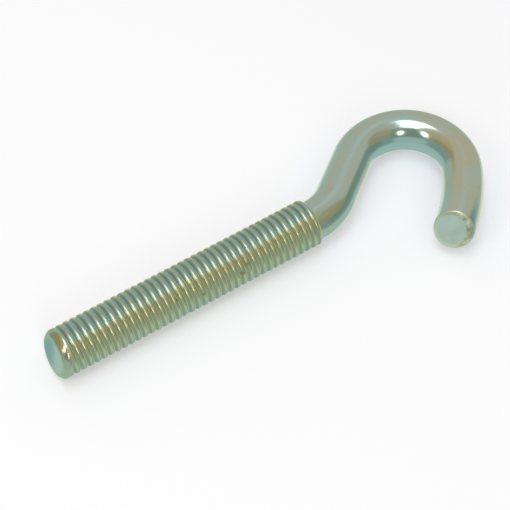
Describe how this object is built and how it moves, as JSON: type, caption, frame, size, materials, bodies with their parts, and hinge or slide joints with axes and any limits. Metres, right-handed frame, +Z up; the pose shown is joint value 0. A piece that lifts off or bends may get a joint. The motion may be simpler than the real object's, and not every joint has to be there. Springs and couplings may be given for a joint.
{
  "type": "open-type eye bolt",
  "caption": "Round steel rod with a coarse-threaded shank, bent at its plain end into an eye with an open mouth that a rope, ring or chain slips into.",
  "frame": {"origin": "on the shank axis, at the end of the full thread beside the neck", "axes": "+X along the shank axis from the tip towards the eye, +Z up as the bolt lies at rest"},
  "size_m": [0.0982, 0.0367, 0.0104],
  "materials": {
    "plated_steel": "bright zinc plating with a thin pale green and yellow sheen"
  },
  "bodies": {
    "root": {"eye_bolt": "plated_steel"}
  },
  "joints": []
}
